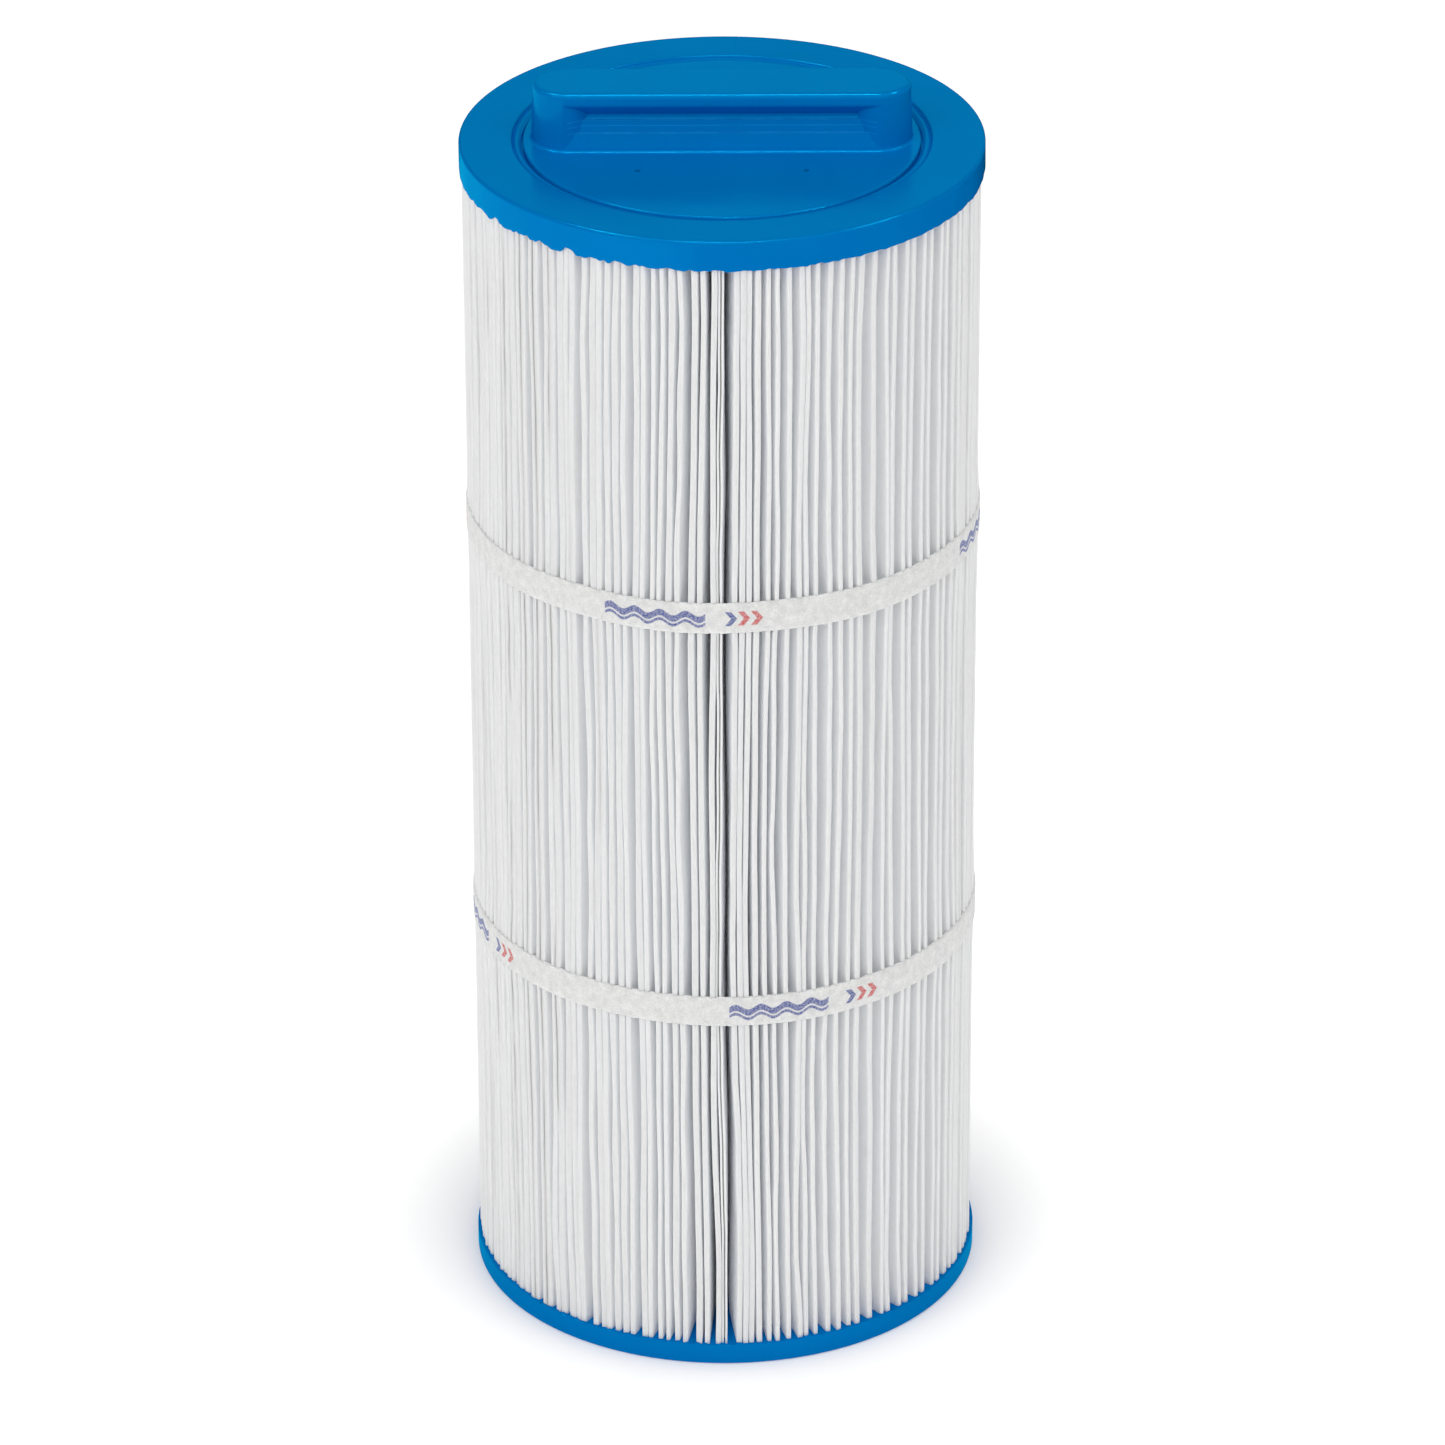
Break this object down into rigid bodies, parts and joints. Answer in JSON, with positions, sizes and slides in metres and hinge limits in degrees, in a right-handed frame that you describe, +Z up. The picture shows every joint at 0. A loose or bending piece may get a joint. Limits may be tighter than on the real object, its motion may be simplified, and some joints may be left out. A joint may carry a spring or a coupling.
{
  "type": "spa filter cartridge",
  "caption": "Cylindrical pleated spa filter cartridge with cast end caps, two retaining bands, a handle on its closed top end and an open bore in its bottom end.",
  "frame": {"origin": "centre of the bottom end cap's flat lower face, on the cartridge's axis", "axes": "+Z up along the cartridge's axis to the handle, +X along the handle, -Y towards the pleat where the sheet's two ends meet"},
  "size_m": [0.135, 0.135, 0.3413],
  "materials": {
    "cast_urethane": "cast, semi-gloss",
    "moulded_handle": "moulded, semi-gloss",
    "filter_fabric": "matt spun-bonded polyester",
    "seam_adhesive": "set hot-melt adhesive",
    "core_plastic": "moulded, matt",
    "band_tape": "thin non-woven tape, printed"
  },
  "bodies": {
    "root": {"top_end_cap": "cast_urethane", "handle_plate": "moulded_handle", "pleated_media": "filter_fabric", "seam_strip": "seam_adhesive", "core_tube": "core_plastic", "upper_band": "band_tape", "lower_band": "band_tape", "bottom_end_cap": "cast_urethane"}
  },
  "joints": []
}
